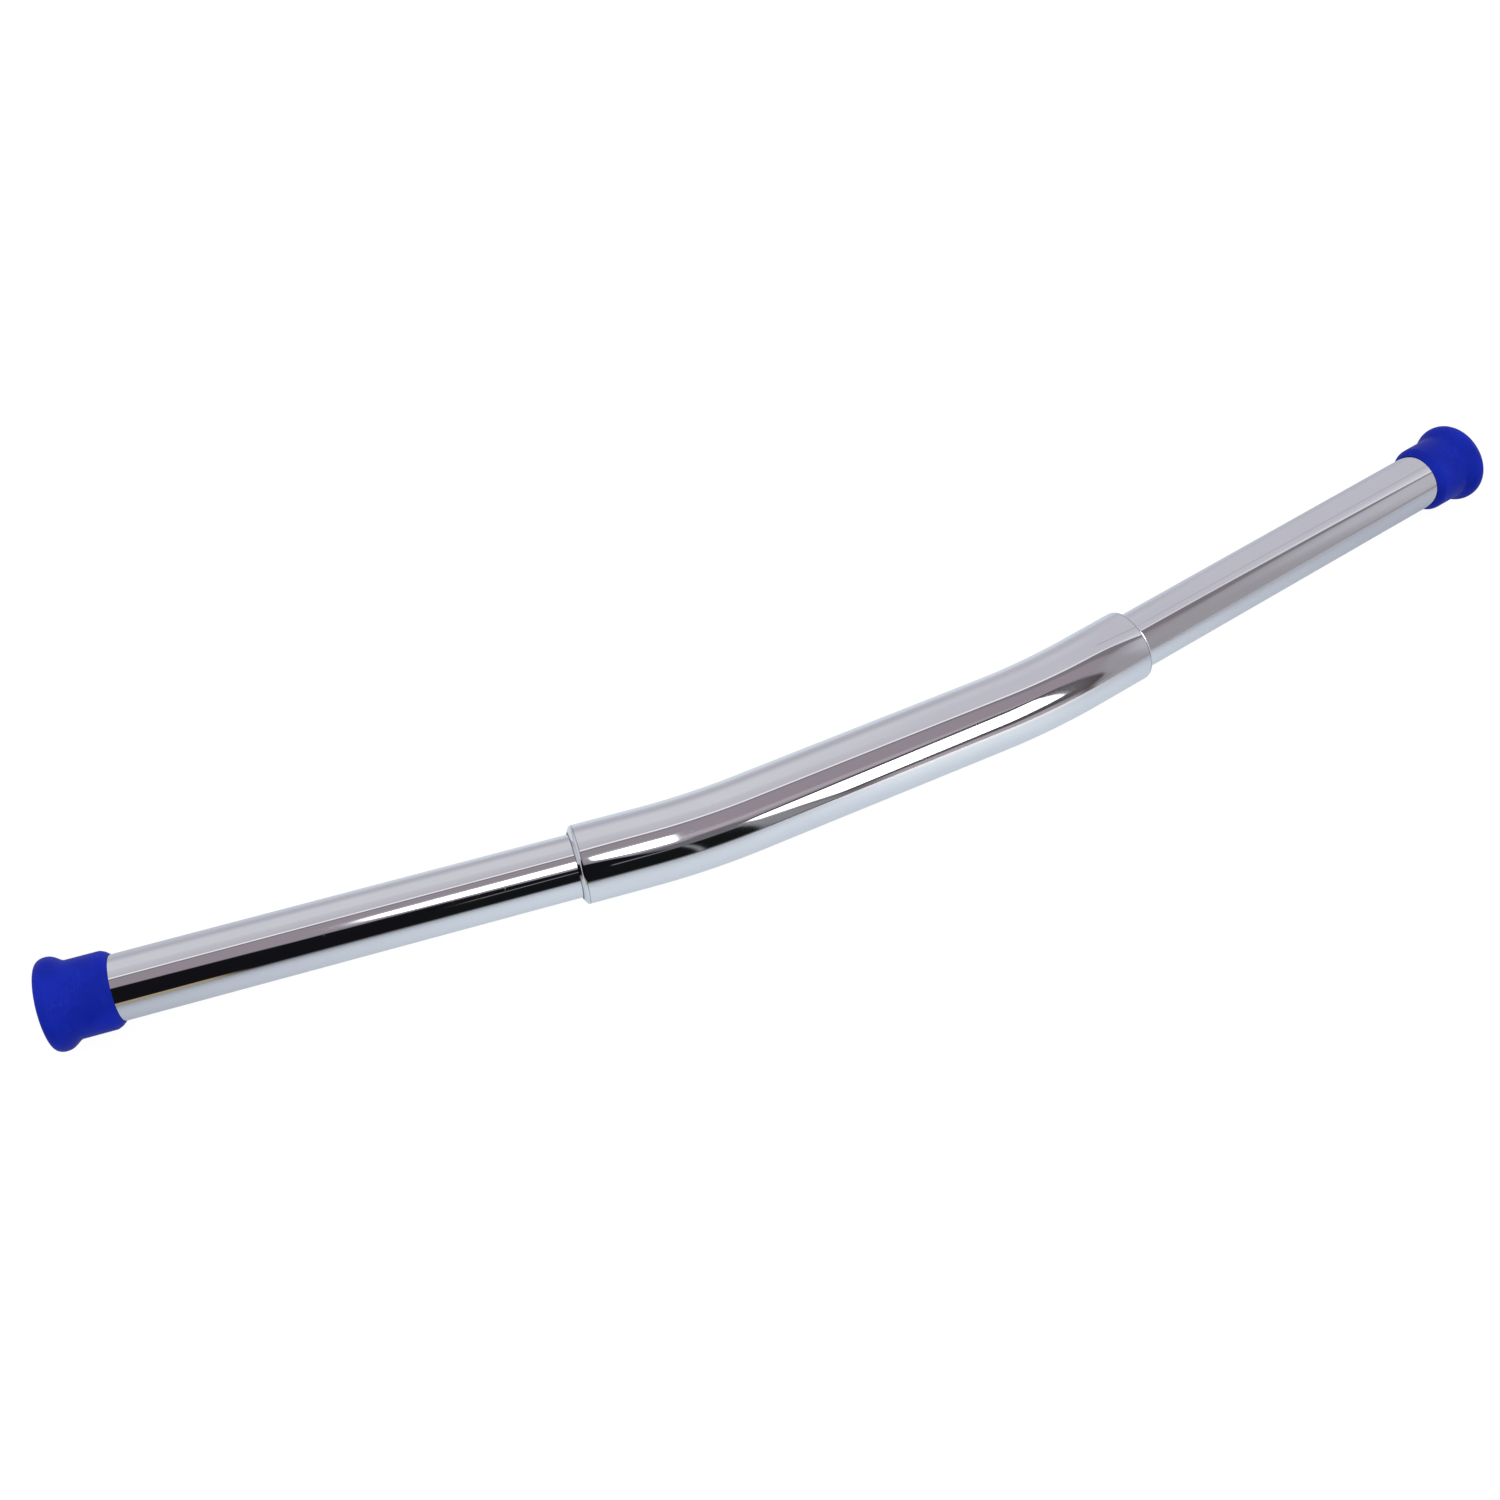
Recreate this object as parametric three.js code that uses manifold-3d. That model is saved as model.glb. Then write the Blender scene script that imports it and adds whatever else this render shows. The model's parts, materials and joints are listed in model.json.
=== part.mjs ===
// A telescopic pull up bar for a doorway, lying on a level surface as it does when it isn't in use.
//
// A cranked steel sleeve in the middle holds a straight tube at each end. A nut in the inner end of
// each tube runs on a spindle that is fixed inside the sleeve, so a tube that is turned by hand screws
// in or out, and the rubber cap on its outer end presses on the door jamb.
//
// Millimetres. X runs along the bar, Z is up, and the ends are bent towards +Y.

import * as THREE from "three";
import { mergeVertices } from "three/addons/utils/BufferGeometryUtils.js";
import Module from "manifold-3d";

// Centre sleeve: straight in the middle, one gentle bend each side, then a straight stub
const SLEEVE_RADIUS = 15.875;
const SLEEVE_BORE = 14.675;
const MIDDLE_LENGTH = 112;
const BEND_RADIUS = 335;
const BEND_ANGLE = THREE.MathUtils.degToRad(7.7);
const STUB_LENGTH = 27.6;
const LIP_OPENING = 13.1;
const BEND_STEPS = 6;

// Inner tubes
const TUBE_RADIUS = 12.7;
const TUBE_BORE = 11.2;
const INSERTED_LENGTH = 58;
const SHOWN_LENGTH = 170.1;
const TRAVEL = 36;
const EXTENSION = { left: 4.5, right: 2 };

// Rubber end caps
const CAP_RADIUS = 15.1;
const FLANGE_RADIUS = 17.9;
const FLANGE_WIDEST = 22.4;
const CAP_BORE = 13.05;
const CAP_LENGTH = 25.6;
const CAP_FLOOR = 21;
const TUBE_IN_CAP = 15.5;

// Screw mechanism
const SPINDLE_RADIUS = 5;
const THREAD_BORE = 5.35;
const NUT_LENGTH = 16;
const NUT_FLANGE = 2;
const ANCHOR_DEPTH = 64;
const ANCHOR_THICKNESS = 4;
const LOCK_NUT_LENGTH = 6;
const LOCK_NUT_FLATS = 16;
const COLLAR_LENGTH = 9;
const PIN_RADIUS = 1.5;
const GAP = 0.3;

const ROUND = 32;
const ROUND_SMALL = 24;

const chrome = new THREE.MeshStandardMaterial({ color: 0xd9dbe0, metalness: 1, roughness: 0.06 });
const zinc = new THREE.MeshStandardMaterial({ color: 0xb4b7ba, metalness: 1, roughness: 0.35 });
const nylon = new THREE.MeshStandardMaterial({ color: 0x1d1e21, metalness: 0, roughness: 0.5 });
const rubber = new THREE.MeshStandardMaterial({ color: 0x1626a4, metalness: 0, roughness: 0.45 });

const wasm = await Module();
wasm.setup();

// A solid of revolution about X. The outline is [along, radius] pairs with the outside running
// towards +X. It starts and ends on the axis, or is closed here.
function turned(outline, sides = ROUND) {
  const points = outline.map(([along, radius]) => new THREE.Vector2(radius, along));
  if (outline[0][1] > 0) {
    points.push(points[0].clone());
  }
  return new THREE.LatheGeometry(points, sides).rotateZ(-Math.PI / 2);
}

// A plain ring about X with its outer edges chamfered
function ring(from, to, bore, radius, chamfer, sides = ROUND) {
  return turned([
    [from, bore],
    [from, radius - chamfer],
    [from + chamfer, radius],
    [to - chamfer, radius],
    [to, radius - chamfer],
    [to, bore],
  ], sides);
}

function regularPoints(sides, radius, offset = 0) {
  const points = [];
  for (let i = 0; i < sides; i += 1) {
    const turn = (2 * Math.PI * i) / sides;
    points.push(new THREE.Vector2(radius * Math.cos(turn), offset + radius * Math.sin(turn)));
  }
  return points;
}

// A plate across X with a round hole on the axis. Its outline may stand off the axis along Y.
function plate(outline, hole, from, to) {
  const shape = new THREE.Shape(outline);
  shape.holes.push(new THREE.Path(regularPoints(ROUND_SMALL, hole)));
  const geometry = new THREE.ExtrudeGeometry(shape, { depth: to - from, bevelEnabled: false });
  return geometry.rotateY(Math.PI / 2).translate(from, 0, 0);
}

function toSolid(geometry) {
  const bare = geometry.clone();
  bare.deleteAttribute("normal");
  bare.deleteAttribute("uv");
  const merged = mergeVertices(bare, 1e-4);
  return new wasm.Manifold(new wasm.Mesh({
    numProp: 3,
    vertProperties: new Float32Array(merged.attributes.position.array),
    triVerts: new Uint32Array(merged.index.array),
  }));
}

function cut(geometry, tool) {
  const mesh = toSolid(geometry).subtract(toSolid(tool)).getMesh();
  const result = new THREE.BufferGeometry();
  result.setAttribute("position", new THREE.BufferAttribute(mesh.vertProperties, 3));
  result.setIndex(new THREE.BufferAttribute(mesh.triVerts, 1));
  result.computeVertexNormals();
  return result;
}

// The sleeve's centreline at a distance from its middle: the point, and how far it has turned
function centreline(distance) {
  const side = Math.sign(distance);
  const beyond = Math.max(0, Math.abs(distance) - MIDDLE_LENGTH / 2);
  const turn = Math.min(BEND_ANGLE, beyond / BEND_RADIUS);
  const stub = beyond - turn * BEND_RADIUS;
  const straight = Math.min(Math.abs(distance), MIDDLE_LENGTH / 2);
  const x = straight + BEND_RADIUS * Math.sin(turn) + stub * Math.cos(turn);
  const y = BEND_RADIUS * (1 - Math.cos(turn)) + stub * Math.sin(turn);
  return { x: side * x, y, turn: side * turn };
}

const SLEEVE_HALF = MIDDLE_LENGTH / 2 + BEND_RADIUS * BEND_ANGLE + STUB_LENGTH;

// Places along one half of the sleeve where its wall needs an edge: both ends of the bend and steps
// between them
function bendStations() {
  const stations = [];
  for (let i = 0; i <= BEND_STEPS; i += 1) {
    stations.push(MIDDLE_LENGTH / 2 + (BEND_RADIUS * BEND_ANGLE * i) / BEND_STEPS);
  }
  return stations;
}

// The sleeve is turned straight, with both mouths rolled in to the tubes, and then bent
function sleeveGeometry() {
  const rolledMouth = [
    [-2.1, SLEEVE_RADIUS],
    [-1.55, SLEEVE_RADIUS - 0.12],
    [-1.1, SLEEVE_RADIUS - 0.5],
    [-0.85, SLEEVE_RADIUS - 1.05],
    [0, LIP_OPENING + 0.25],
    [-0.3, LIP_OPENING],
    [-1.2, LIP_OPENING],
    [-2.1, SLEEVE_BORE],
  ];
  const right = bendStations();
  const left = right.map((station) => -station).reverse();
  const stations = [...left, ...right];
  const outline = [
    ...rolledMouth.map(([along, radius]) => [-SLEEVE_HALF - along, radius]).reverse(),
    ...stations.map((station) => [station, SLEEVE_RADIUS]),
    ...rolledMouth.map(([along, radius]) => [SLEEVE_HALF + along, radius]),
    ...stations.map((station) => [station, SLEEVE_BORE]).reverse(),
  ];
  const geometry = turned(outline);
  const position = geometry.attributes.position;
  for (let i = 0; i < position.count; i += 1) {
    const { x, y, turn } = centreline(position.getX(i));
    const across = position.getY(i);
    position.setXY(i, x - across * Math.sin(turn), y + across * Math.cos(turn));
  }
  return geometry;
}

function capGeometry(mouth) {
  const rim = FLANGE_RADIUS - 1.6;
  const outline = [
    [CAP_FLOOR, 0],
    [CAP_FLOOR, CAP_BORE],
    [0.3, CAP_BORE],
    [0, CAP_BORE + 0.3],
    [0.6, CAP_RADIUS - 0.7],
    [2.4, CAP_RADIUS],
    [15.8, CAP_RADIUS],
    [17, CAP_RADIUS + 0.3],
    [18.2, CAP_RADIUS + 1.2],
    [19.4, CAP_RADIUS + 2.1],
    [20.8, FLANGE_RADIUS - 0.15],
    [FLANGE_WIDEST, FLANGE_RADIUS],
    [23.9, FLANGE_RADIUS - 0.15],
    [25, FLANGE_RADIUS - 0.7],
    [CAP_LENGTH, rim],
    [CAP_LENGTH, 12],
    [CAP_LENGTH - 1.2, 10.4],
    [CAP_LENGTH - 1.2, 0],
  ];
  return turned(outline.map(([along, radius]) => [mouth + along, radius]));
}

function nutGeometry(start) {
  const end = start + NUT_LENGTH;
  const body = TUBE_BORE - 0.35;
  return turned([
    [start, THREAD_BORE + 0.5],
    [start, TUBE_RADIUS - 0.6],
    [start + 0.4, TUBE_RADIUS - 0.2],
    [start + NUT_FLANGE, TUBE_RADIUS - 0.2],
    [start + NUT_FLANGE, body],
    [end - 0.6, body],
    [end, body - 0.6],
    [end, THREAD_BORE + 0.5],
    [end - 0.5, THREAD_BORE],
    [start + 0.5, THREAD_BORE],
  ]);
}

// The plug is hollow behind its flange, and its low dome runs on the pressure disc
function plugGeometry(tubeEnd) {
  const body = TUBE_BORE - 0.35;
  return turned([
    [tubeEnd, 0],
    [tubeEnd, body - 2.3],
    [tubeEnd - 12, body - 2.3],
    [tubeEnd - 12, body - 0.5],
    [tubeEnd - 11.4, body],
    [tubeEnd + GAP, body],
    [tubeEnd + GAP, TUBE_RADIUS - 0.2],
    [tubeEnd + 2.1, TUBE_RADIUS - 0.2],
    [tubeEnd + 2.1, 4.2],
    [tubeEnd + 3.1, 3],
    [tubeEnd + 3.4, 0],
  ]);
}

// The screw mechanism, tube and cap of one end. Along is measured on the stub's axis: 0 at the
// sleeve's mouth, outward positive.
function endAssembly(side, extension) {
  const end = new THREE.Group();
  const towardsBend = side === "left" ? -1 : 1;
  const add = (name, geometry, material) => {
    const mesh = new THREE.Mesh(geometry, material);
    mesh.name = `${side}_${name}`;
    end.add(mesh);
  };

  // The sleeve has curved away from the spindle's axis where the anchor disc sits
  const pastStub = ANCHOR_DEPTH + ANCHOR_THICKNESS / 2 - STUB_LENGTH;
  const offset = BEND_RADIUS - Math.sqrt(BEND_RADIUS ** 2 - pastStub ** 2);
  const discFrom = -ANCHOR_DEPTH - ANCHOR_THICKNESS;
  const disc = regularPoints(ROUND, SLEEVE_BORE - 0.55, towardsBend * offset);
  add("anchor_disc", plate(disc, THREAD_BORE, discFrom, -ANCHOR_DEPTH), zinc);
  const lockNutTo = discFrom - GAP;
  const lockNutFrom = lockNutTo - LOCK_NUT_LENGTH;
  const hexagon = regularPoints(6, LOCK_NUT_FLATS / 2 / Math.cos(Math.PI / 6));
  add("lock_nut", plate(hexagon, THREAD_BORE, lockNutFrom, lockNutTo), zinc);

  // Screwed right out, the tube's nut stops just short of the collar
  const collarFrom = TRAVEL - INSERTED_LENGTH + NUT_LENGTH + 0.4;
  const collarRadius = TUBE_BORE - 1.7;
  const pinAlong = collarFrom + COLLAR_LENGTH / 2;
  const spindleFrom = lockNutFrom - 1.7;
  const spindleTo = collarFrom + COLLAR_LENGTH + 2;
  const pinHole = new THREE.CylinderGeometry(PIN_RADIUS + GAP, PIN_RADIUS + GAP, 30, 16);
  pinHole.translate(pinAlong, 0, 0);
  const pinShape = new THREE.CylinderGeometry(PIN_RADIUS, PIN_RADIUS, 2 * collarRadius - 1, 16);
  pinShape.translate(pinAlong, 0, 0);
  const rod = turned([
    [spindleFrom, 0],
    [spindleFrom, SPINDLE_RADIUS - 0.6],
    [spindleFrom + 0.6, SPINDLE_RADIUS],
    [spindleTo - 0.6, SPINDLE_RADIUS],
    [spindleTo, SPINDLE_RADIUS - 0.6],
    [spindleTo, 0],
  ], ROUND_SMALL);
  const collar = ring(collarFrom, collarFrom + COLLAR_LENGTH, THREAD_BORE, collarRadius, 0.6, ROUND_SMALL);
  add("spindle", cut(rod, pinHole), zinc);
  add("stop_collar", cut(collar, pinHole), zinc);
  add("stop_pin", pinShape, zinc);
  add("guide_bush", ring(-20.5, -2.6, CAP_BORE, SLEEVE_BORE - 0.375, 0.3), nylon);

  const inner = extension - INSERTED_LENGTH;
  const mouth = SHOWN_LENGTH + extension;
  const tubeEnd = mouth + TUBE_IN_CAP;
  const discAt = tubeEnd + 3.7;
  add("spindle_nut", nutGeometry(inner), zinc);
  add("inner_tube", ring(inner + NUT_FLANGE + GAP, tubeEnd, TUBE_BORE, TUBE_RADIUS, 0.3), chrome);
  add("end_plug", plugGeometry(tubeEnd), nylon);
  add("pressure_disc", turned([
    [discAt, 0],
    [discAt, TUBE_RADIUS - 0.5],
    [discAt + 0.3, TUBE_RADIUS - 0.2],
    [discAt + 1.5, TUBE_RADIUS - 0.2],
    [discAt + 1.5, 0],
  ]), zinc);
  add("end_cap", capGeometry(mouth), rubber);

  const { x, y } = centreline(towardsBend * SLEEVE_HALF);
  end.position.set(x, y, 0);
  end.rotation.z = towardsBend > 0 ? BEND_ANGLE : Math.PI - BEND_ANGLE;
  return end;
}

const bar = new THREE.Group();
const sleeve = new THREE.Mesh(sleeveGeometry(), chrome);
sleeve.name = "centre_sleeve";
bar.add(sleeve);
for (const side of ["left", "right"]) {
  bar.add(endAssembly(side, EXTENSION[side]));
}

// At rest the bar lies on the middle of its sleeve and on both cap flanges, which are thicker than
// the sleeve, so its ends are tipped up a little
const meanExtension = (EXTENSION.left + EXTENSION.right) / 2;
const flangeAlong = SHOWN_LENGTH + meanExtension + FLANGE_WIDEST;
const flangeAcross = centreline(SLEEVE_HALF).y + flangeAlong * Math.sin(BEND_ANGLE);
bar.rotation.x = Math.asin((FLANGE_RADIUS - SLEEVE_RADIUS) / flangeAcross);

// The origin is the middle of the bar's box, on the surface that it lies on
bar.updateMatrixWorld(true);
const box = new THREE.Box3().setFromObject(bar, true);
bar.position.set(-(box.min.x + box.max.x) / 2, -(box.min.y + box.max.y) / 2, -box.min.z);

const group = new THREE.Group();
group.add(bar);

export default group;
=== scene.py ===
# A telescopic doorway pull up bar, lying on a pale floor.
import json
from math import cos, pi, radians, sin

import bpy
from mathutils import Euler, Matrix, Vector

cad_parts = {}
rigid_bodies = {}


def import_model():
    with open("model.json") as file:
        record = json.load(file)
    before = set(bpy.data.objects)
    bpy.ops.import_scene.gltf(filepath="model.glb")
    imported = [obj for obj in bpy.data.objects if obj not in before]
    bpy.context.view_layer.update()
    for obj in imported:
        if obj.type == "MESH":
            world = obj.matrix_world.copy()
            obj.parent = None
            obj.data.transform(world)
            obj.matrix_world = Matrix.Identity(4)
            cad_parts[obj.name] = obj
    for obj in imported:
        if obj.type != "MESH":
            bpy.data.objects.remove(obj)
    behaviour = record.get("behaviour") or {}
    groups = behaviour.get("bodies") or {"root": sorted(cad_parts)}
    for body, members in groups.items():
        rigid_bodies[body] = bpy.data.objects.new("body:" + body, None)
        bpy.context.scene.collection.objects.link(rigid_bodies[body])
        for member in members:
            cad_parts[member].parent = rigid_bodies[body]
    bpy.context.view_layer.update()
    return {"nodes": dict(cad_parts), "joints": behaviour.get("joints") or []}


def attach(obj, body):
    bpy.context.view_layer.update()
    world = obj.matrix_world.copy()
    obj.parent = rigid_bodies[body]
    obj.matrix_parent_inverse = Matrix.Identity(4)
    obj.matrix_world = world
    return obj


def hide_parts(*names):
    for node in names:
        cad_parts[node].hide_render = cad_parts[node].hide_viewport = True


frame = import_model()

MM = 0.001
MICRON = 0.001 * MM

# Centre sleeve
SLEEVE_RADIUS = 15.875 * MM
SLEEVE_BORE = 14.675 * MM
LIP_OPENING = 13.3 * MM
ROLL_END = 2.1 * MM             # how far in from the mouth the rolled lip ends
MIDDLE_HALF = 56 * MM
BEND_RADIUS = 335 * MM
BEND_ANGLE = radians(7.7)
STUB = 27.6 * MM
BEND_STEPS = 24

# Inner tubes
TUBE_RADIUS = 12.7 * MM
TUBE_BORE = 11.2 * MM
BROKEN_EDGE = 0.3 * MM

# Spindles
SPINDLE_RADIUS = 5 * MM
THREAD_ROOT = 4.1 * MM
THREAD_PITCH = 3 * MM
THREAD_STEPS = 32
SPARE_TURNS = 2                 # turns past each end, cut off again

# The tubes' hinge points in the record are this far outside the sleeve's mouths
HINGE_FROM_MOUTH = 100 * MM

# Sides of the rings, and the sharpest edge that is shaded smooth, on metal and on rubber
METAL_SIDES = 144
RUBBER_SIDES = 40
METAL_SMOOTH = radians(32)
RUBBER_SMOOTH = radians(60)
RUBBER_LEVELS = 2

# Camera: its place in metres, its turns in degrees, its lens and film in millimetres
CAMERA_PLACE = (-0.2027, -0.32474, 0.56253)
CAMERA_TURNS = (34.178, -0.194, -25.451)
CAMERA_LENS = 38.622
CAMERA_FILM = 36
CAMERA_REACH = (0.01, 50)

# Floor and soft light
FLOOR_SIZE = 9
FLOOR_EVEN = 0.93               # share of the floor that the camera sees evenly lit
FLOOR_BRIGHTNESS = 1.03
MIRRORED_EVEN = 0.55            # the same share for the floor as the chrome mirrors it
SOFT_LEVEL = 0.85
SOFT_OVERHEAD = 0.4             # added straight above, and taken away straight below
WHITE = (1, 1, 1, 1)

SIDES = ("left", "right")
STEEL_NODES = ("anchor_disc", "lock_nut", "stop_collar", "stop_pin", "spindle_nut",
               "pressure_disc")
NYLON_NODES = ("guide_bush", "end_plug")


# ---------------------------------------------------------------- places

def end_frames():
    """Each end's own frame: origin at the sleeve's mouth, X out along the tube, Z up."""
    hinges = {side: joint for side in SIDES for joint in frame["joints"]
              if joint["name"] == f"{side}_turn"}
    out = {side: Vector(hinges[side]["axis"]).normalized() for side in SIDES}
    up = out["right"].cross(out["left"]).normalized()
    frames = {}
    for side in SIDES:
        across = up.cross(out[side])
        mouth = Vector(hinges[side]["pos_m"]) - out[side] * HINGE_FROM_MOUTH
        place = Matrix((out[side], across, up)).transposed().to_4x4()
        place.translation = mouth
        frames[side] = place
    return frames


def sleeve_frame():
    """The sleeve's frame: origin on the axis at its middle, X along it, Y towards the bent ends."""
    left, right = (ENDS[side].translation for side in SIDES)
    along = (right - left).normalized()
    up = ENDS["right"].col[2].to_3d()
    across = up.cross(along)
    sag = BEND_RADIUS * (1 - cos(BEND_ANGLE)) + STUB * sin(BEND_ANGLE)
    place = Matrix((along, across, up)).transposed().to_4x4()
    place.translation = (left + right) / 2 - across * sag
    return place


def reach(node, side):
    """Where a CAD node starts and ends, measured outwards from the sleeve's mouth."""
    inward = ENDS[side].inverted()
    along = [(inward @ vertex.co).x for vertex in frame["nodes"][node].data.vertices]
    return min(along), max(along)


ENDS = end_frames()
SLEEVE = sleeve_frame()


# ---------------------------------------------------------------- modelling

def deselect_all():
    for item in bpy.context.scene.objects:
        item.select_set(False)


def start_ring(name, along, radius, sides, fill="NOTHING"):
    """A ring of edges around the X axis, open in edit mode and selected all over."""
    deselect_all()
    bpy.ops.mesh.primitive_circle_add(
        vertices=sides, radius=radius, fill_type=fill,
        location=(along, 0, 0), rotation=(0, pi / 2, 0))
    piece = bpy.context.active_object
    piece.name = name
    piece.data.name = name
    bpy.ops.object.transform_apply(location=True, rotation=True, scale=True)
    bpy.ops.object.mode_set(mode="EDIT")
    bpy.ops.mesh.select_mode(type="VERT")
    bpy.ops.mesh.select_all(action="SELECT")
    return piece


def pull_rings(outline):
    """Extrudes the selected ring through the rest of an outline of (along, radius) pairs."""
    for (along, radius), (next_along, next_radius) in zip(outline, outline[1:]):
        bpy.ops.mesh.extrude_region_move(
            TRANSFORM_OT_translate={"value": (next_along - along, 0, 0)})
        swell = next_radius / radius
        if abs(next_radius - radius) > MICRON:
            bpy.ops.transform.resize(
                value=(1, swell, swell), center_override=(next_along, 0, 0))


def select_ring(piece, along):
    """Selects only the vertices at one place along X."""
    bpy.ops.object.mode_set(mode="OBJECT")
    for polygon in piece.data.polygons:
        polygon.select = False
    for edge in piece.data.edges:
        edge.select = False
    for vertex in piece.data.vertices:
        vertex.select = abs(vertex.co.x - along) < MICRON
    bpy.ops.object.mode_set(mode="EDIT")


def close_piece(piece, weld=2 * MICRON):
    """Welds the doubled rings, turns all faces outwards and leaves edit mode."""
    bpy.ops.mesh.select_all(action="SELECT")
    bpy.ops.mesh.remove_doubles(threshold=weld)
    bpy.ops.mesh.normals_make_consistent(inside=False)
    bpy.ops.object.mode_set(mode="OBJECT")
    return piece


def only(piece):
    deselect_all()
    piece.select_set(True)
    bpy.context.view_layer.objects.active = piece


def settle(piece, place):
    """Puts a piece made around the origin in its place, in its mesh."""
    only(piece)
    piece.matrix_world = place
    bpy.ops.object.transform_apply(location=True, rotation=True, scale=True)
    return piece


def smooth(piece, angle=METAL_SMOOTH):
    only(piece)
    bpy.ops.object.shade_smooth_by_angle(angle=angle)
    return piece


def apply_modifier(piece, kind, **settings):
    only(piece)
    modifier = piece.modifiers.new(kind.lower(), kind)
    for key, value in settings.items():
        setattr(modifier, key, value)
    bpy.ops.object.modifier_apply(modifier=modifier.name)
    return piece


def turned(name, outline):
    """A hollow piece turned on X: a closed outline of (along, radius) pairs off the axis."""
    piece = start_ring(name, *outline[0], METAL_SIDES)
    pull_rings(outline + outline[:1])
    return close_piece(piece)


def turned_solid(name, outline):
    """A soft piece turned on X and closed across the axis at both ends of its outline."""
    piece = start_ring(name, *outline[0], RUBBER_SIDES, fill="NGON")
    pull_rings(outline)
    return close_piece(piece)


def finish(piece, body, slot, material, *nodes):
    """Gives a piece its material and its place in the frame."""
    piece.data.materials.clear()
    piece.data.materials.append(material)
    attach(piece, body)
    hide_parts(*nodes)
    return piece


# ---------------------------------------------------------------- nodes

def put(tree, kind, wires=None, **settings):
    """Adds a node: wires are its inputs, each a value or a socket, and settings its properties."""
    made = tree.nodes.new(kind)
    for key, value in settings.items():
        setattr(made, key, value)
    for key, value in (wires or {}).items():
        if isinstance(value, bpy.types.NodeSocket):
            tree.links.new(value, made.inputs[key])
        else:
            made.inputs[key].default_value = value
    return made


def calc(tree, operation, *values):
    return put(tree, "ShaderNodeMath", dict(enumerate(values)), operation=operation).outputs[0]


def blend_colours(tree, factor, first, second):
    """Mixes two colours. Sockets 0, 6 and 7 hold the factor and the colours, 2 the result."""
    made = put(tree, "ShaderNodeMix", {0: factor, 6: first, 7: second}, data_type="RGBA")
    return made.outputs[2]


def spread(tree, value, low, high, to_low=0.0, to_high=1.0):
    """Maps a value from one range to another, clamped."""
    made = put(tree, "ShaderNodeMapRange",
               {"Value": value, "From Min": low, "From Max": high,
                "To Min": to_low, "To Max": to_high}, interpolation_type="SMOOTHSTEP")
    return made.outputs["Result"]


def new_group(name, inputs, outputs):
    tree = bpy.data.node_groups.new(name, "ShaderNodeTree")
    for label, kind, value in inputs:
        socket = tree.interface.new_socket(label, in_out="INPUT",
                                           socket_type=f"NodeSocket{kind}")
        if value is not None:
            socket.default_value = value
    for label, kind in outputs:
        tree.interface.new_socket(label, in_out="OUTPUT", socket_type=f"NodeSocket{kind}")
    return tree, tree.nodes.new("NodeGroupInput"), tree.nodes.new("NodeGroupOutput")


def use_group(tree, group, **wires):
    return put(tree, "ShaderNodeGroup", wires, node_tree=group)


# ---------------------------------------------------------------- shared effects

def grain_group():
    """Noise that can be drawn out along the piece, as a value around 0.5."""
    tree, given, out = new_group(
        "Surface grain",
        [("Position", "Vector", None), ("Stretch", "Vector", (1, 1, 1)),
         ("Scale", "Float", 100), ("Detail", "Float", 3)],
        [("Value", "Float")])
    drawn = put(tree, "ShaderNodeVectorMath",
                {0: given.outputs["Position"], 1: given.outputs["Stretch"]}, operation="MULTIPLY")
    noise = put(tree, "ShaderNodeTexNoise",
                {"Vector": drawn.outputs[0], "Scale": given.outputs["Scale"],
                 "Detail": given.outputs["Detail"]})
    tree.links.new(noise.outputs["Fac"], out.inputs["Value"])
    return tree


def scratch_group():
    """Fine scratches: thin lines that run mostly one way, broken up by a coarse noise."""
    tree, given, out = new_group(
        "Fine scratches",
        [("Position", "Vector", None), ("Stretch", "Vector", (1, 1, 1)),
         ("Scale", "Float", 300), ("Amount", "Float", 0.5)],
        [("Mask", "Float")])
    lines = use_group(tree, GRAIN, Position=given.outputs["Position"],
                      Stretch=given.outputs["Stretch"], Scale=given.outputs["Scale"], Detail=2)
    ridge = calc(tree, "ABSOLUTE", calc(tree, "SUBTRACT", lines.outputs["Value"], 0.5))
    thin = spread(tree, ridge, 0.0, 0.012, 1.0, 0.0)
    patches = use_group(tree, GRAIN, Position=given.outputs["Position"], Scale=45, Detail=2)
    where = spread(tree, patches.outputs["Value"], 0.5, 0.68)
    mask = calc(tree, "MULTIPLY", calc(tree, "MULTIPLY", thin, where), given.outputs["Amount"])
    tree.links.new(mask, out.inputs["Mask"])
    return tree


def dust_group():
    """Small specks of dust, thinly strewn."""
    tree, given, out = new_group(
        "Dust specks",
        [("Position", "Vector", None), ("Scale", "Float", 900), ("Amount", "Float", 0.5)],
        [("Mask", "Float")])
    cells = put(tree, "ShaderNodeTexVoronoi",
                {"Vector": given.outputs["Position"], "Scale": given.outputs["Scale"]})
    specks = spread(tree, cells.outputs["Distance"], 0.08, 0.16, 1.0, 0.0)
    patches = use_group(tree, GRAIN, Position=given.outputs["Position"], Scale=120, Detail=3)
    where = spread(tree, patches.outputs["Value"], 0.55, 0.7)
    mask = calc(tree, "MULTIPLY", calc(tree, "MULTIPLY", specks, where), given.outputs["Amount"])
    tree.links.new(mask, out.inputs["Mask"])
    return tree


GRAIN = grain_group()
SCRATCHES = scratch_group()
DUST = dust_group()


# ---------------------------------------------------------------- materials

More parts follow.
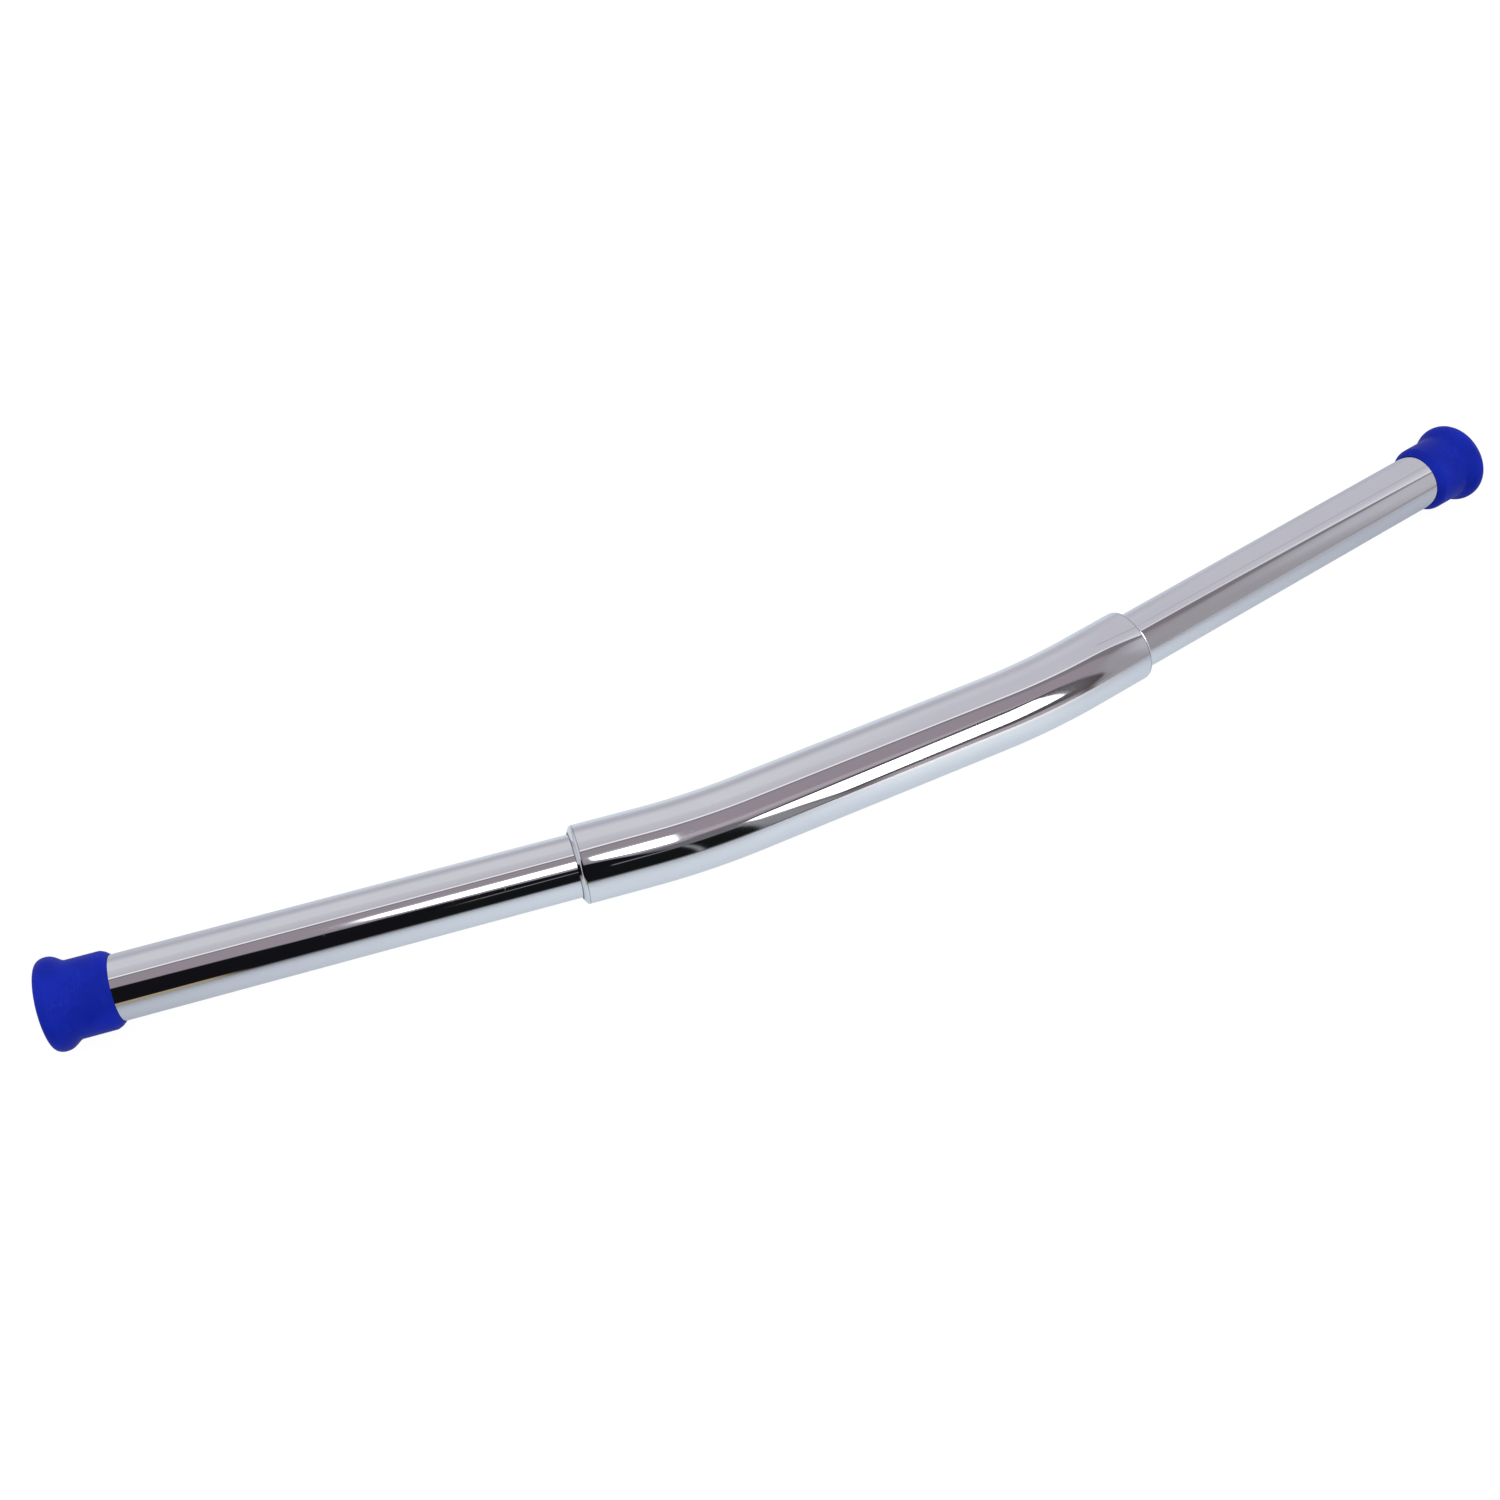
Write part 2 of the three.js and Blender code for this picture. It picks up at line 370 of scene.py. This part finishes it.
def start_material(name, place):
    """A new material with its shader and a position measured in the frame of its piece."""
    material = bpy.data.materials.new(name)
    material.use_nodes = True
    tree = material.node_tree
    tree.nodes.clear()
    inward = place.inverted()
    coordinates = put(tree, "ShaderNodeTexCoord")
    position = put(tree, "ShaderNodeMapping",
                   {"Vector": coordinates.outputs["Object"],
                    "Location": inward.translation, "Rotation": inward.to_euler()})
    shader = put(tree, "ShaderNodeBsdfPrincipled")
    output = put(tree, "ShaderNodeOutputMaterial")
    tree.links.new(shader.outputs["BSDF"], output.inputs["Surface"])
    return material, tree, shader, position.outputs["Vector"]


def add_bump(tree, shader, height, distance, strength=1.0):
    bump = put(tree, "ShaderNodeBump",
               {"Height": height, "Distance": distance, "Strength": strength})
    tree.links.new(bump.outputs["Normal"], shader.inputs["Normal"])


def mouth_painted_shade(tree, position):
    """Painted shade by the sleeve's mouths: dark in the gap at the mouth, and a dark ring where the
    roll ends.
    """
    mouth = SLEEVE.inverted() @ ENDS["right"]
    parts = put(tree, "ShaderNodeSeparateXYZ", {0: position})
    folded = put(tree, "ShaderNodeCombineXYZ",
                 {0: calc(tree, "ABSOLUTE", parts.outputs["X"]), 1: parts.outputs["Y"],
                  2: parts.outputs["Z"]})
    within = put(tree, "ShaderNodeVectorMath",
                 {0: folded.outputs[0], 1: mouth.translation}, operation="SUBTRACT")
    along = put(tree, "ShaderNodeVectorMath",
                {0: within.outputs[0], 1: mouth.col[0].to_3d()}, operation="DOT_PRODUCT")
    along = along.outputs["Value"]
    ring = calc(tree, "ABSOLUTE", calc(tree, "ADD", along, ROLL_END))
    ring = spread(tree, ring, 0.08 * MM, 0.3 * MM, 1.0, 0.0)
    gap = spread(tree, along, -0.4 * MM, -0.1 * MM)
    return calc(tree, "MAXIMUM", calc(tree, "MULTIPLY", ring, 0.6), gap)


def chrome(name, place, mouths=False):
    """Bright chrome plate: faint draw waves along the tube, hairline scratches, smudges and dust."""
    material, tree, shader, position = start_material(name, place)
    shader.inputs["Metallic"].default_value = 1.0
    smudges = use_group(tree, GRAIN, Position=position, Scale=38, Detail=3)
    waves = use_group(tree, GRAIN, Position=position, Stretch=(0.12, 1, 1), Scale=60, Detail=1)
    scratches = use_group(tree, SCRATCHES, Position=position, Stretch=(0.3, 1, 1),
                          Scale=260, Amount=0.6)
    dust = use_group(tree, DUST, Position=position, Scale=700, Amount=0.5)
    tint = blend_colours(tree, smudges.outputs["Value"],
                         (0.80, 0.81, 0.84, 1), (0.86, 0.865, 0.885, 1))
    colour = blend_colours(tree, dust.outputs["Mask"], tint, (0.55, 0.55, 0.56, 1))
    if mouths:
        # Painted shade: the gap at each mouth and a ring where the roll ends are darkened
        colour = blend_colours(tree, mouth_painted_shade(tree, position), colour, (0.20, 0.20, 0.23, 1))
    tree.links.new(colour, shader.inputs["Base Color"])
    haze = spread(tree, smudges.outputs["Value"], 0.35, 0.7, 0.025, 0.06)
    marks = calc(tree, "MULTIPLY_ADD", scratches.outputs["Mask"], 0.12, haze)
    roughness = calc(tree, "MULTIPLY_ADD", dust.outputs["Mask"], 0.4, marks)
    tree.links.new(roughness, shader.inputs["Roughness"])
    height = calc(tree, "MULTIPLY_ADD", scratches.outputs["Mask"], -0.05, waves.outputs["Value"])
    add_bump(tree, shader, height, 6 * MICRON)
    return material


def blue_rubber(name, place):
    """Soft moulded rubber: a fine skin grain, paler scuffs and a little dust."""
    material, tree, shader, position = start_material(name, place)
    shader.inputs["Specular IOR Level"].default_value = 0.08
    cloud = use_group(tree, GRAIN, Position=position, Scale=70, Detail=4)
    skin = use_group(tree, GRAIN, Position=position, Scale=1400, Detail=2)
    scratches = use_group(tree, SCRATCHES, Position=position, Stretch=(1, 0.5, 0.5),
                          Scale=420, Amount=0.7)
    dust = use_group(tree, DUST, Position=position, Scale=800, Amount=0.5)
    body = blend_colours(tree, spread(tree, cloud.outputs["Value"], 0.35, 0.65),
                         (0.002, 0.0125, 0.30, 1), (0.004, 0.017, 0.37, 1))
    scuffed = blend_colours(tree, scratches.outputs["Mask"], body, (0.012, 0.035, 0.44, 1))
    colour = blend_colours(tree, dust.outputs["Mask"], scuffed, (0.07, 0.10, 0.42, 1))
    tree.links.new(colour, shader.inputs["Base Color"])
    satin = spread(tree, cloud.outputs["Value"], 0.35, 0.7, 0.38, 0.5)
    tree.links.new(satin, shader.inputs["Roughness"])
    add_bump(tree, shader, skin.outputs["Value"], 12 * MICRON)
    return material


def zinc(name, place):
    """Zinc plated steel: turning marks around the axis, a mottled plate and a few scratches."""
    material, tree, shader, position = start_material(name, place)
    shader.inputs["Metallic"].default_value = 1.0
    mottle = use_group(tree, GRAIN, Position=position, Scale=160, Detail=4)
    turning = use_group(tree, GRAIN, Position=position, Stretch=(1, 0.04, 0.04), Scale=2400,
                        Detail=1)
    scratches = use_group(tree, SCRATCHES, Position=position, Stretch=(0.5, 1, 1),
                          Scale=500, Amount=0.6)
    plate = blend_colours(tree, spread(tree, mottle.outputs["Value"], 0.35, 0.65),
                          (0.52, 0.53, 0.55, 1), (0.68, 0.69, 0.70, 1))
    colour = blend_colours(tree, scratches.outputs["Mask"], plate, (0.78, 0.78, 0.79, 1))
    tree.links.new(colour, shader.inputs["Base Color"])
    roughness = spread(tree, mottle.outputs["Value"], 0.3, 0.7, 0.24, 0.4)
    tree.links.new(roughness, shader.inputs["Roughness"])
    add_bump(tree, shader, turning.outputs["Value"], 8 * MICRON)
    return material


def nylon(name, place):
    """Moulded black nylon: a fine grain, cloudy satin and a little dust."""
    material, tree, shader, position = start_material(name, place)
    shader.inputs["Specular IOR Level"].default_value = 0.4
    cloud = use_group(tree, GRAIN, Position=position, Scale=110, Detail=4)
    skin = use_group(tree, GRAIN, Position=position, Scale=1800, Detail=2)
    dust = use_group(tree, DUST, Position=position, Scale=800, Amount=0.5)
    body = blend_colours(tree, cloud.outputs["Value"],
                         (0.018, 0.018, 0.021, 1), (0.042, 0.042, 0.048, 1))
    colour = blend_colours(tree, dust.outputs["Mask"], body, (0.20, 0.20, 0.20, 1))
    tree.links.new(colour, shader.inputs["Base Color"])
    satin = spread(tree, cloud.outputs["Value"], 0.35, 0.7, 0.36, 0.52)
    tree.links.new(satin, shader.inputs["Roughness"])
    add_bump(tree, shader, skin.outputs["Value"], 15 * MICRON)
    return material


# ---------------------------------------------------------------- pieces

def make_sleeve():
    """The cranked sleeve, one half drawn through its bend from the rolled mouth, then mirrored."""
    # The rolled lip in millimetres, (along, radius), from its opening out to the full tube
    lip = [(-0.3, 13.3), (-0.08, 13.33), (0, 13.47), (-0.06, 13.65), (-0.85, 14.83),
           (-0.95, 15.12), (-1.15, 15.42), (-1.45, 15.66), (-1.8, 15.81), (-2.2, 15.875)]
    outside = [(along * MM, radius * MM) for along, radius in lip] + [(-STUB, SLEEVE_RADIUS)]
    inside = [(-0.3 * MM, LIP_OPENING), (-1.2 * MM, LIP_OPENING), (-ROLL_END, SLEEVE_BORE),
              (-STUB, SLEEVE_BORE)]
    piece = start_ring("sleeve_tube", *outside[0], METAL_SIDES)
    middle = Vector((-cos(BEND_ANGLE), sin(BEND_ANGLE), 0)) * MIDDLE_HALF
    for wall in (outside, inside):
        select_ring(piece, wall[0][0])
        pull_rings(wall)
        bpy.ops.mesh.spin(steps=BEND_STEPS, angle=BEND_ANGLE,
                          center=(-STUB, BEND_RADIUS, 0), axis=(0, 0, 1))
        bpy.ops.mesh.extrude_region_move(TRANSFORM_OT_translate={"value": middle})
    close_piece(piece)
    settle(piece, SLEEVE.inverted() @ ENDS["right"])
    apply_modifier(piece, "MIRROR", use_axis=(True, False, False), use_mirror_merge=True,
                   merge_threshold=10 * MICRON)
    only(piece)
    bpy.ops.object.mode_set(mode="EDIT")
    close_piece(piece)
    return smooth(settle(piece, SLEEVE))


def make_tube(side):
    """An inner tube with its sharp edges broken."""
    start, stop = reach(f"{side}_inner_tube", side)
    edge = BROKEN_EDGE
    outline = [(start, TUBE_BORE + edge), (start, TUBE_RADIUS - edge),
               (start + edge, TUBE_RADIUS), (stop - edge, TUBE_RADIUS),
               (stop, TUBE_RADIUS - edge), (stop, TUBE_BORE + edge),
               (stop - edge, TUBE_BORE), (start + edge, TUBE_BORE)]
    piece = turned(f"{side}_chrome_tube", outline)
    return smooth(settle(piece, ENDS[side]))


def make_cap(side):
    """A soft end cap: a straight collar that swells into a rounded flange around a dished face."""
    start, _ = reach(f"{side}_end_cap", side)
    # In millimetres, (along, radius), from the floor of the bore out to the middle of the face
    bore = [(21, 12.6), (20.7, 12.95), (20, 13.05), (1.8, 13.05), (0.8, 12.95)]
    mouth = [(0.2, 12.83), (0, 12.86), (0.05, 12.98), (0.4, 13.3), (1.25, 14.05), (1.55, 14.3),
             (1.85, 14.44), (2.9, 14.94), (3.3, 15.06), (3.8, 15.1)]
    collar = [(8, 15.1), (15, 15.1), (16.1, 15.1)]
    flange = [(16.7, 15.24), (17.7, 15.85), (18.9, 16.8), (20.1, 17.58), (21.4, 17.95),
              (22.7, 17.97), (24, 17.72), (25, 17.1), (25.5, 16.35), (25.6, 15.5)]
    face = [(25.6, 14.5), (25.6, 12.6), (25.4, 11.9), (24.8, 11), (24.45, 10.2), (24.4, 9.4),
            (24.4, 4)]
    outline = [(start + along * MM, radius * MM)
               for along, radius in bore + mouth + collar + flange + face]
    piece = turned_solid(f"{side}_rubber_cap", outline)
    apply_modifier(piece, "SUBSURF", levels=RUBBER_LEVELS, render_levels=RUBBER_LEVELS)
    return smooth(settle(piece, ENDS[side]), RUBBER_SMOOTH)


def make_spindle(side):
    """A spindle with its right-hand trapezoidal thread, cut square at both ends."""
    start, stop = reach(f"{side}_spindle", side)
    first = start - SPARE_TURNS * THREAD_PITCH
    # One thread in section, as (share of the pitch, radius)
    tooth = [(0, THREAD_ROOT), (0.38, THREAD_ROOT), (0.52, SPINDLE_RADIUS),
             (0.86, SPINDLE_RADIUS), (1, THREAD_ROOT)]
    deselect_all()
    bpy.ops.mesh.primitive_circle_add(vertices=3, radius=MM, location=(first, THREAD_ROOT, 0))
    piece = bpy.context.active_object
    piece.name = piece.data.name = f"{side}_threaded_spindle"
    bpy.ops.object.transform_apply(location=True, rotation=True, scale=True)
    bpy.ops.object.mode_set(mode="EDIT")
    bpy.ops.mesh.select_mode(type="VERT")
    bpy.ops.mesh.select_all(action="SELECT")
    bpy.ops.mesh.merge(type="CENTER")
    for (share, radius), (next_share, next_radius) in zip(tooth, tooth[1:]):
        bpy.ops.mesh.extrude_region_move(TRANSFORM_OT_translate={
            "value": ((next_share - share) * THREAD_PITCH, next_radius - radius, 0)})
    bpy.ops.object.mode_set(mode="OBJECT")
    apply_modifier(piece, "SCREW", axis="X", angle=2 * pi, screw_offset=THREAD_PITCH,
                   iterations=int((stop - start) / THREAD_PITCH) + 2 * SPARE_TURNS,
                   steps=THREAD_STEPS, render_steps=THREAD_STEPS)
    only(piece)
    bpy.ops.object.mode_set(mode="EDIT")
    bpy.ops.mesh.select_all(action="SELECT")
    bpy.ops.mesh.remove_doubles(threshold=MICRON)
    bpy.ops.mesh.bisect(plane_co=(start, 0, 0), plane_no=(1, 0, 0), use_fill=True,
                        clear_inner=True)
    bpy.ops.mesh.select_all(action="SELECT")
    bpy.ops.mesh.bisect(plane_co=(stop, 0, 0), plane_no=(1, 0, 0), use_fill=True,
                        clear_outer=True)
    close_piece(piece, MICRON)
    return smooth(settle(piece, ENDS[side]))


# ---------------------------------------------------------------- stage

def add_floor():
    """A plain white floor, with a slight gloss, and painted shade and painted window light where the
    chrome mirrors it.
    """
    deselect_all()
    bpy.ops.mesh.primitive_plane_add(size=FLOOR_SIZE)
    floor = bpy.context.active_object
    floor.name = "stage_floor"
    material = bpy.data.materials.new("floor_paper")
    material.use_nodes = True
    tree = material.node_tree
    tree.nodes.clear()
    paper = put(tree, "ShaderNodeBsdfDiffuse", {"Color": (0.92, 0.92, 0.93, 1)})
    bright = put(tree, "ShaderNodeEmission", {"Color": WHITE, "Strength": FLOOR_BRIGHTNESS})
    seen = put(tree, "ShaderNodeMixShader",
               {0: FLOOR_EVEN, 1: paper.outputs[0], 2: bright.outputs[0]})
    # As mirrored: pale blue under the bar's middle, with painted shade making it greyer to the sides
    # and behind it
    place = put(tree, "ShaderNodeNewGeometry").outputs["Position"]
    spot = put(tree, "ShaderNodeSeparateXYZ", {0: place})
    aside = calc(tree, "ABSOLUTE", calc(tree, "ADD", spot.outputs["X"], 0.03))
    tone = blend_colours(tree, spread(tree, aside, 0.1, 0.36),
                         (0.68, 0.74, 0.80, 1), (0.47, 0.50, 0.56, 1))
    tone = blend_colours(tree, spread(tree, spot.outputs["Y"], 0.02, 0.2),
                         tone, (0.50, 0.50, 0.56, 1))
    # A patch of window light in front of it, between two slanting edges
    ahead = calc(tree, "MULTIPLY", spot.outputs["Y"], -1)
    left_edge = calc(tree, "MULTIPLY_ADD", ahead, -0.25, spot.outputs["X"])
    right_edge = calc(tree, "MULTIPLY_ADD", ahead, -0.62, spot.outputs["X"])
    patch = calc(tree, "MULTIPLY", spread(tree, ahead, 0.08, 0.3),
                 calc(tree, "MULTIPLY", spread(tree, left_edge, -0.06, 0.03),
                      spread(tree, right_edge, 0.07, 0.2, 1.0, 0.0)))
    tone = blend_colours(tree, patch, tone, WHITE)
    shaded = put(tree, "ShaderNodeBsdfDiffuse", {"Color": tone})
    even = put(tree, "ShaderNodeEmission", {"Color": tone, "Strength": 1.0})
    pale = put(tree, "ShaderNodeMixShader",
               {0: MIRRORED_EVEN, 1: shaded.outputs[0], 2: even.outputs[0]})
    gloss = put(tree, "ShaderNodeBsdfGlossy", {"Color": WHITE, "Roughness": 0.3})
    sheen = calc(tree, "MULTIPLY", put(tree, "ShaderNodeFresnel", {"IOR": 1.3}).outputs[0], 0.6)
    mirrored = put(tree, "ShaderNodeMixShader",
                   {0: sheen, 1: pale.outputs[0], 2: gloss.outputs[0]})
    ray = put(tree, "ShaderNodeLightPath")
    shown = put(tree, "ShaderNodeMixShader", {0: ray.outputs["Is Camera Ray"],
                                              1: mirrored.outputs[0], 2: seen.outputs[0]})
    output = put(tree, "ShaderNodeOutputMaterial")
    tree.links.new(shown.outputs[0], output.inputs["Surface"])
    floor.data.materials.append(material)


# The studio that the chrome mirrors. Directions are (turn, height) in degrees: turn 0 is straight
# in front of the bar, 90 its right-hand end, and height 90 straight up.

# The pale walls and ceiling, as (from height, to height, colour), each laid over the last
SKY = [
    (-90, -89, (0.49, 0.48, 0.535)),
    (2, 30, (0.675, 0.675, 0.72)),
    (50, 64, (0.60, 0.588, 0.635)),
    (64, 84, (0.535, 0.515, 0.56)),
]

# Cards, windows and dark openings, as (blur, colour, corners), each laid over the last
WINDOW = (3.2, 3.2, 3.3)
CARDS = [
    # right-hand part of the far wall, and a beam on it
    (6.0, (0.585, 0.575, 0.635), [(85, -20), (158, -20), (152, 50), (130, 62), (95, 58)]),
    (0.9, (0.44, 0.43, 0.48), [(129, 53), (104, 46.5), (105, 45), (131, 51.5)]),
    # near half of the ceiling, dark along its edge, with a bright gap before it
    (1.0, (1.00, 0.99, 1.03), [(-60, 20), (-122, 73.2), (108, 64.5), (92.8, 55.4), (76.4, 43.5),
                               (54.8, 18), (10, -20)]),
    (1.0, (0.22, 0.195, 0.215), [(-60, 20), (-111, 75), (102, 66.8), (91.7, 56.6), (75.4, 44.1),
                                 (54, 18), (10, -20)]),
    (3.0, (0.33, 0.285, 0.32), [(-60, 20), (-99, 75.8), (94, 68), (83, 63.3), (72.6, 53.7),
                                (52, 32), (36, 8), (10, -20)]),
    (3.0, (0.46, 0.40, 0.44), [(9, 49), (18, 48), (40, 45), (44, 49), (18, 59), (6, 60)]),
    # right-hand wall
    (3.0, (0.36, 0.345, 0.365), [(36, -20), (38, 10), (42, 30), (50, 42.7), (60, 48.5), (74, 50),
                                 (72, 42), (66, 10), (61, -20)]),
    (5.0, (0.53, 0.515, 0.56), [(46, -20), (47, 8), (50, 30), (58, 41), (70, 46), (73, 42),
                                (66, 10), (61, -20)]),
    (2.0, (0.36, 0.35, 0.375), [(36, -5), (36, 7), (70, 7), (70, -5)]),
    # skirting, and the frame between the doorway and the windows
    (0.8, (0.15, 0.15, 0.155), [(-80, -5), (-80, 7), (36, 7), (36, -5)]),
    (1.2, (0.16, 0.15, 0.165), [(-6, 48), (8, 48), (16, 49), (17, 5), (-6, 5)]),
    (1.0, (0.40, 0.39, 0.42), [(-10, 52), (8.4, 49.5), (8, 45), (-5, 47.5)]),
    # dark doorway
    (1.2, (0.007, 0.007, 0.009), [(-80, 3), (0, 3), (8, 38), (-5.5, 49.5), (-16, 59), (-28, 60.5),
                                  (-80, 57)]),
    (0.5, (0.16, 0.16, 0.17), [(-8, 32), (13.5, 31), (13.5, 34), (-8, 36)]),
    (0.6, (0.007, 0.008, 0.009), [(-10, 3), (13.4, 3), (13.2, 31.8), (-10, 33)]),
    (0.8, (0.26, 0.26, 0.28), [(-20, 55.5), (-11, 53), (-9.5, 56), (-17, 58.5)]),
    (0.4, (0.26, 0.26, 0.27), [(4.6, 3), (5.4, 3), (5.2, 32), (4.4, 32)]),
    (0.8, (0.42, 0.35, 0.20), [(-60, 0), (-16.5, 0), (-16.5, 7.5), (-60, 7.5)]),
    # right-hand window in its dark frame, and the sill under it
    (0.8, (0.27, 0.265, 0.28), [(13.4, 3), (13.2, 32), (15.7, 40), (24, 40), (24, 3)]),
    (0.8, (0.09, 0.08, 0.085), [(17, 3), (34, 3), (40, 20), (45, 47), (36, 49), (14.5, 41.5)]),
    (1.5, (0.42, 0.39, 0.41), [(18, -3), (33, -3), (34, 10), (18, 9)]),
    (2.5, (0.13, 0.115, 0.125), [(31, 4), (35, 10), (41, 31), (45, 42), (38, 45)]),
    (0.6, WINDOW, [(15.2, 38.4), (25.5, 42), (38.5, 45), (33.4, 22), (17.2, 14)]),
    # window past the end of the wall
    (0.8, WINDOW, [(80, 6), (98, 6), (98, 30), (80, 30)]),
    # upper window
    (2.5, (0.55, 0.53, 0.56), [(-10, 56), (7.5, 52), (20, 73), (-23, 75)]),
    (0.6, WINDOW, [(-19, 71), (18, 70), (7, 50.3), (-1, 52.5), (-11, 57.5), (-14.5, 61)]),
]


def edge_group():
    """One straight edge of a card: white on its inner side and black past it, blurred across."""
    tree, given, out = new_group(
        "Edge of a card",
        [("Direction", "Vector", None), ("Inward", "Vector", (0, 0, 1)), ("Blur", "Float", 0.02)],
        [("Mask", "Float")])
    past = put(tree, "ShaderNodeVectorMath",
               {0: given.outputs["Direction"], 1: given.outputs["Inward"]},
               operation="DOT_PRODUCT").outputs["Value"]
    share = calc(tree, "DIVIDE", past, given.outputs["Blur"])
    tree.links.new(spread(tree, share, -1.0, 1.0), out.inputs["Mask"])
    return tree


def towards(turn, height):
    """The direction of a point in the room, from its turn and height."""
    turn, height = radians(turn), radians(height)
    return Vector((sin(turn) * cos(height), -cos(turn) * cos(height), sin(height)))


def light_room():
    """The pale room for what mirrors it, soft light for what doesn't, and a white backdrop."""
    world = bpy.data.worlds.new("studio")
    bpy.context.scene.world = world
    world.use_nodes = True
    tree = world.node_tree
    tree.nodes.clear()
    direction = put(tree, "ShaderNodeTexCoord").outputs["Generated"]
    upward = put(tree, "ShaderNodeSeparateXYZ", {0: direction}).outputs["Z"]
    height = calc(tree, "DEGREES", calc(tree, "ARCSINE", upward))
    edge = edge_group()
    colour = (0, 0, 0, 1)
    for start, stop, shade in SKY:
        colour = blend_colours(tree, spread(tree, height, start, stop), colour, (*shade, 1))
    for blur, shade, corners in CARDS:
        points = [towards(*corner) for corner in corners]
        middle = sum(points, Vector())
        mask = 1.0
        for first, second in zip(points, points[1:] + points[:1]):
            inward = first.cross(second).normalized()
            if inward.dot(middle) < 0:
                inward.negate()
            side = use_group(tree, edge, Direction=direction, Inward=inward,
                             Blur=sin(radians(blur)))
            mask = calc(tree, "MULTIPLY", mask, side.outputs["Mask"])
        colour = blend_colours(tree, mask, colour, (*shade, 1))
    room = put(tree, "ShaderNodeBackground", {"Color": colour, "Strength": 1.0})
    overhead = calc(tree, "MULTIPLY_ADD", upward, SOFT_OVERHEAD, SOFT_LEVEL)
    soft = put(tree, "ShaderNodeBackground", {"Color": WHITE, "Strength": overhead})
    backdrop = put(tree, "ShaderNodeBackground", {"Color": WHITE, "Strength": 1.0})
    ray = put(tree, "ShaderNodeLightPath")
    lit = put(tree, "ShaderNodeMixShader", {0: ray.outputs["Is Diffuse Ray"],
                                            1: room.outputs[0], 2: soft.outputs[0]})
    shown = put(tree, "ShaderNodeMixShader", {0: ray.outputs["Is Camera Ray"],
                                              1: lit.outputs[0], 2: backdrop.outputs[0]})
    output = put(tree, "ShaderNodeOutputWorld")
    tree.links.new(shown.outputs[0], output.inputs["Surface"])


def add_camera():
    """The camera stands in front of the left half and above it."""
    data = bpy.data.cameras.new("camera")
    data.sensor_width = CAMERA_FILM
    data.lens = CAMERA_LENS
    data.clip_start, data.clip_end = CAMERA_REACH
    camera = bpy.data.objects.new("camera", data)
    bpy.context.scene.collection.objects.link(camera)
    camera.location = CAMERA_PLACE
    camera.rotation_euler = Euler([radians(angle) for angle in CAMERA_TURNS], "XYZ")
    bpy.context.scene.camera = camera


# ---------------------------------------------------------------- assembly

sleeve_chrome = chrome("sleeve_chrome", SLEEVE, mouths=True)
finish(make_sleeve(), "sleeve", "chrome", sleeve_chrome, "centre_sleeve")
for side in SIDES:
    steel = zinc(f"{side}_zinc_steel", ENDS[side])
    black = nylon(f"{side}_black_nylon", ENDS[side])
    plate = chrome(f"{side}_tube_chrome", ENDS[side])
    rubber = blue_rubber(f"{side}_rubber", ENDS[side])
    finish(make_tube(side), f"{side}_tube", "chrome", plate, f"{side}_inner_tube")
    finish(make_cap(side), f"{side}_foot", "blue_rubber", rubber, f"{side}_end_cap")
    finish(make_spindle(side), "sleeve", "zinc_steel", steel, f"{side}_spindle")
    for material, nodes in ((steel, STEEL_NODES), (black, NYLON_NODES)):
        for node in nodes:
            frame["nodes"][f"{side}_{node}"].material_slots[0].material = material

add_floor()
light_room()
add_camera()
bpy.context.scene.view_settings.view_transform = "Standard"
